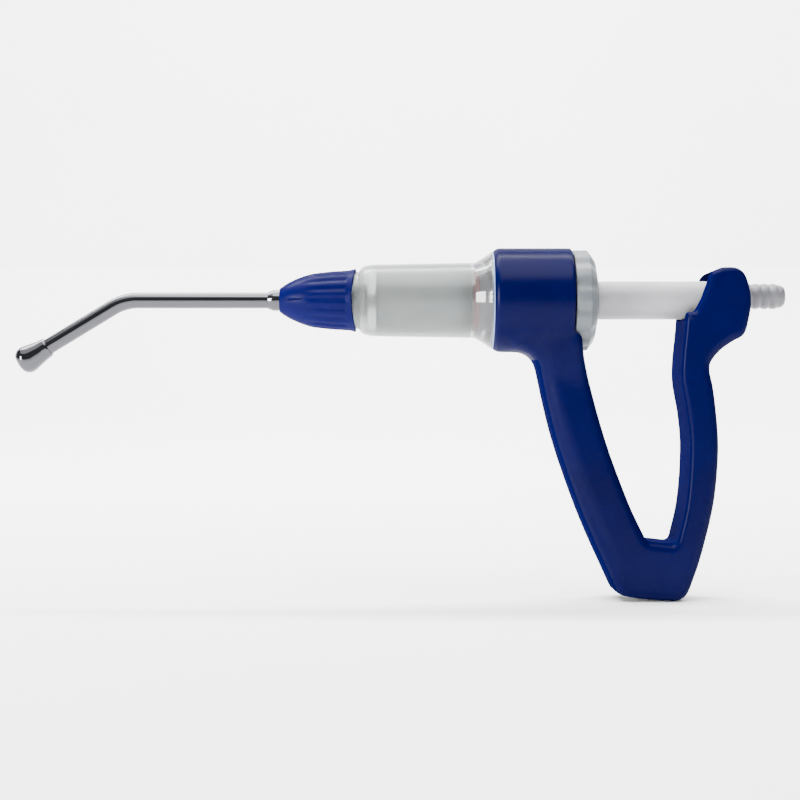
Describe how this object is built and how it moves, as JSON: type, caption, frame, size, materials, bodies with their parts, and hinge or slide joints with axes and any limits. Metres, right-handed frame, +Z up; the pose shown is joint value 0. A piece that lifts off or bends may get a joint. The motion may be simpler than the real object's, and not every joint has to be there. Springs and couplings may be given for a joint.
{
  "type": "drench gun",
  "caption": "Hand-squeezed dosing gun with a V-shaped grip, bent chrome nozzle, frosted barrel, hollow plunger and ribbed hose tail",
  "frame": {"origin": "middle of the bounding box in plan, at the underside of the grip's base", "axes": "+X towards the hose tail and -X towards the nozzle, along the barrel; +Y across, to the side away from a viewer who sees the nozzle on the left; +Z up from the grip's base to the barrel"},
  "size_m": [0.3068, 0.0416, 0.1398],
  "materials": {
    "grip_blue": "satin moulded nylon",
    "cap_blue": "satin moulded nylon",
    "white_nylon": "satin",
    "frosted_plastic": "frosted translucent",
    "chrome": "polished",
    "steel": "bright",
    "red_rubber": "smooth",
    "black_rubber": "smooth"
  },
  "bodies": {
    "handle": {"handle_frame": "grip_blue", "barrel": "frosted_plastic", "barrel_gasket": "black_rubber", "guide_bush": "white_nylon", "nose_cap": "cap_blue", "nozzle_tube": "chrome", "nozzle_tip": "chrome", "nozzle_ferrule": "chrome", "nozzle_seal": "black_rubber", "outlet_valve_seat": "white_nylon", "outlet_valve_spring": "steel"},
    "lever": {"rear_lever": "grip_blue"},
    "adjuster": {"adjuster_ring": "white_nylon"},
    "plunger": {"plunger_tube": "white_nylon", "piston": "white_nylon", "piston_seal": "red_rubber", "inlet_valve_seat": "white_nylon", "inlet_valve_spring": "steel", "inlet_valve_cage": "white_nylon", "plunger_trunnion": "white_nylon", "hose_tail": "white_nylon", "hose_tail_seal": "black_rubber"},
    "outlet_valve": {"outlet_valve_ball": "steel"},
    "inlet_valve": {"inlet_valve_ball": "steel"}
  },
  "joints": [
    {"name": "lever_squeeze", "type": "hinge", "parent": "handle", "child": "lever", "pos_m": [0.11328, 0, 0.017], "axis": [0, -1, 0], "range_deg": [0, 18.92], "stiffness_Nm_per_rad": 8, "springref_deg": -2.86},
    {"name": "plunger_stroke", "type": "slide", "parent": "handle", "child": "plunger", "axis": [-1, 0, 0], "range_m": [0, 0.034]},
    {"name": "adjuster_turn", "type": "hinge", "parent": "handle", "child": "adjuster", "pos_m": [0.07298, 0, 0.119], "axis": [1, 0, 0], "range_deg": [0, 360]},
    {"name": "outlet_valve_lift", "type": "slide", "parent": "handle", "child": "outlet_valve", "axis": [-1, 0, 0], "range_m": [0, 0.0025], "stiffness_N_per_m": 120, "springref_m": -0.002, "deforming": ["outlet_valve_spring"]},
    {"name": "inlet_valve_lift", "type": "slide", "parent": "plunger", "child": "inlet_valve", "axis": [-1, 0, 0], "range_m": [0, 0.002], "stiffness_N_per_m": 120, "springref_m": -0.002, "deforming": ["inlet_valve_spring"]}
  ],
  "couplings": [
    {"joint": "plunger_stroke", "follows": "lever_squeeze", "m_per_rad": 0.10294}
  ]
}
